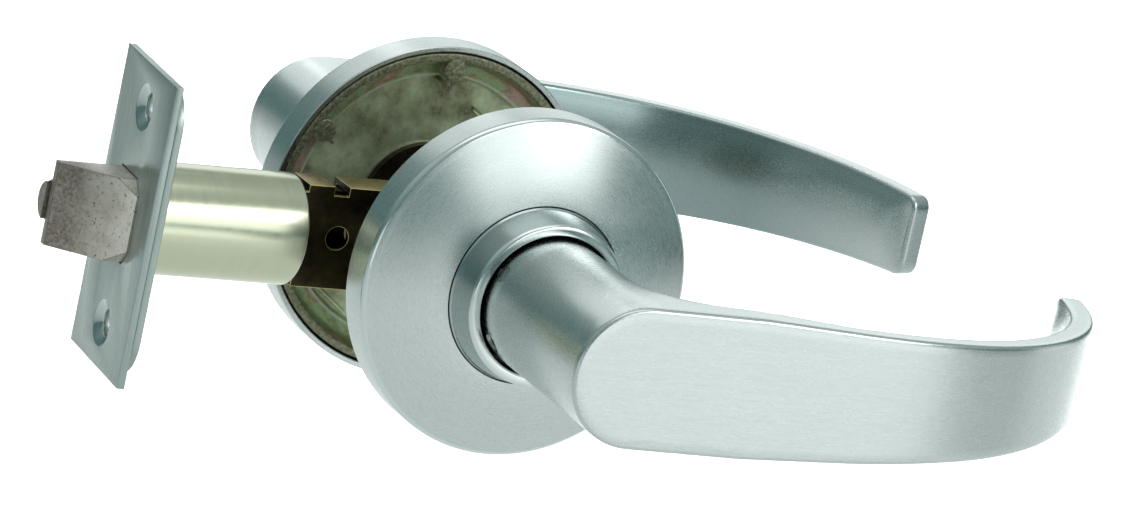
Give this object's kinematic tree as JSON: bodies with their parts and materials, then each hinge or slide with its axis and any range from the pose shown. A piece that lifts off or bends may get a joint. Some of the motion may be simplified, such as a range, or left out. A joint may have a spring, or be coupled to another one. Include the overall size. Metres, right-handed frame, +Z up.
{
  "type": "lever handle lockset",
  "caption": "Tubular lever latch set: two round roses with curved return levers on one square spindle, and a spring latch with a bevelled bolt and a flat faceplate.",
  "frame": {"origin": "where the spindle axis crosses the latch axis, in the middle of the door's thickness", "axes": "+Z up; the spindle lies along Y with the outside of the door towards -Y; the latch lies along X with its faceplate towards -X and both levers pointing towards +X"},
  "size_m": [0.1976, 0.1602, 0.065],
  "materials": {
    "satin_chrome": "fine brushed satin chrome",
    "satin_nickel": "satin nickel plated tube",
    "bolt_metal": "grained sintered metal, nickel plated",
    "cast_zinc": "rough casting with olive dichromate plating",
    "yellow_zinc": "zinc plated sheet with dark yellow dichromate",
    "plain_steel": "plain plated steel"
  },
  "bodies": {
    "lock_body": {"outside_rose": "satin_chrome", "inside_rose": "satin_chrome", "outside_collar": "satin_chrome", "inside_collar": "satin_chrome", "outside_mounting_plate": "cast_zinc", "inside_mounting_plate": "cast_zinc", "outside_return_spring": "plain_steel", "inside_return_spring": "plain_steel", "outside_thrust_washer": "plain_steel", "inside_thrust_washer": "plain_steel", "mounting_posts": "plain_steel", "through_bolts": "plain_steel", "faceplate": "satin_chrome", "backing_plate": "plain_steel", "latch_tube": "satin_nickel", "latch_case": "yellow_zinc", "spring_seat": "plain_steel", "bolt_spring": "plain_steel", "plunger_spring": "plain_steel"},
    "lever_set": {"outside_lever": "satin_chrome", "inside_lever": "satin_chrome", "outside_sleeve": "plain_steel", "inside_sleeve": "plain_steel", "outside_return_cam": "yellow_zinc", "inside_return_cam": "yellow_zinc", "outside_snap_ring": "plain_steel", "inside_snap_ring": "plain_steel", "outside_set_screw": "plain_steel", "inside_set_screw": "plain_steel", "outside_catch_spring": "plain_steel", "inside_catch_spring": "plain_steel", "square_spindle": "plain_steel", "latch_hub": "yellow_zinc"},
    "bolt_and_bar": {"latch_bolt": "bolt_metal", "draw_bar": "yellow_zinc", "draw_bar_rivet": "plain_steel"},
    "plunger": {"deadlatch_plunger": "bolt_metal"},
    "outside_catch": {"outside_lever_catch": "plain_steel"},
    "inside_catch": {"inside_lever_catch": "plain_steel"}
  },
  "joints": [
    {"name": "lever_turn", "type": "hinge", "parent": "lock_body", "child": "lever_set", "pos_m": [0, 0, 0], "axis": [0, 1, 0], "range_deg": [0, 60], "stiffness_Nm_per_rad": 0.6, "springref_deg": -40.11, "deforming": ["outside_return_spring", "inside_return_spring"]},
    {"name": "bolt_slide", "type": "slide", "parent": "lock_body", "child": "bolt_and_bar", "axis": [1, 0, 0], "range_m": [0, 0.0127], "deforming": ["bolt_spring"]},
    {"name": "plunger_slide", "type": "slide", "parent": "lock_body", "child": "plunger", "axis": [1, 0, 0], "range_m": [0, 0.0105], "stiffness_N_per_m": 80, "springref_m": -0.01, "deforming": ["plunger_spring"]},
    {"name": "outside_catch_press", "type": "slide", "parent": "lever_set", "child": "outside_catch", "axis": [0.8829, 0, -0.4695], "range_m": [0, 0.0025], "stiffness_N_per_m": 300, "springref_m": -0.003, "deforming": ["outside_catch_spring"]},
    {"name": "inside_catch_press", "type": "slide", "parent": "lever_set", "child": "inside_catch", "axis": [0.8829, 0, -0.4695], "range_m": [0, 0.0025], "stiffness_N_per_m": 300, "springref_m": -0.003, "deforming": ["inside_catch_spring"]}
  ],
  "couplings": [
    {"joint": "bolt_slide", "follows": "lever_turn", "m_per_rad": 0.012127}
  ]
}
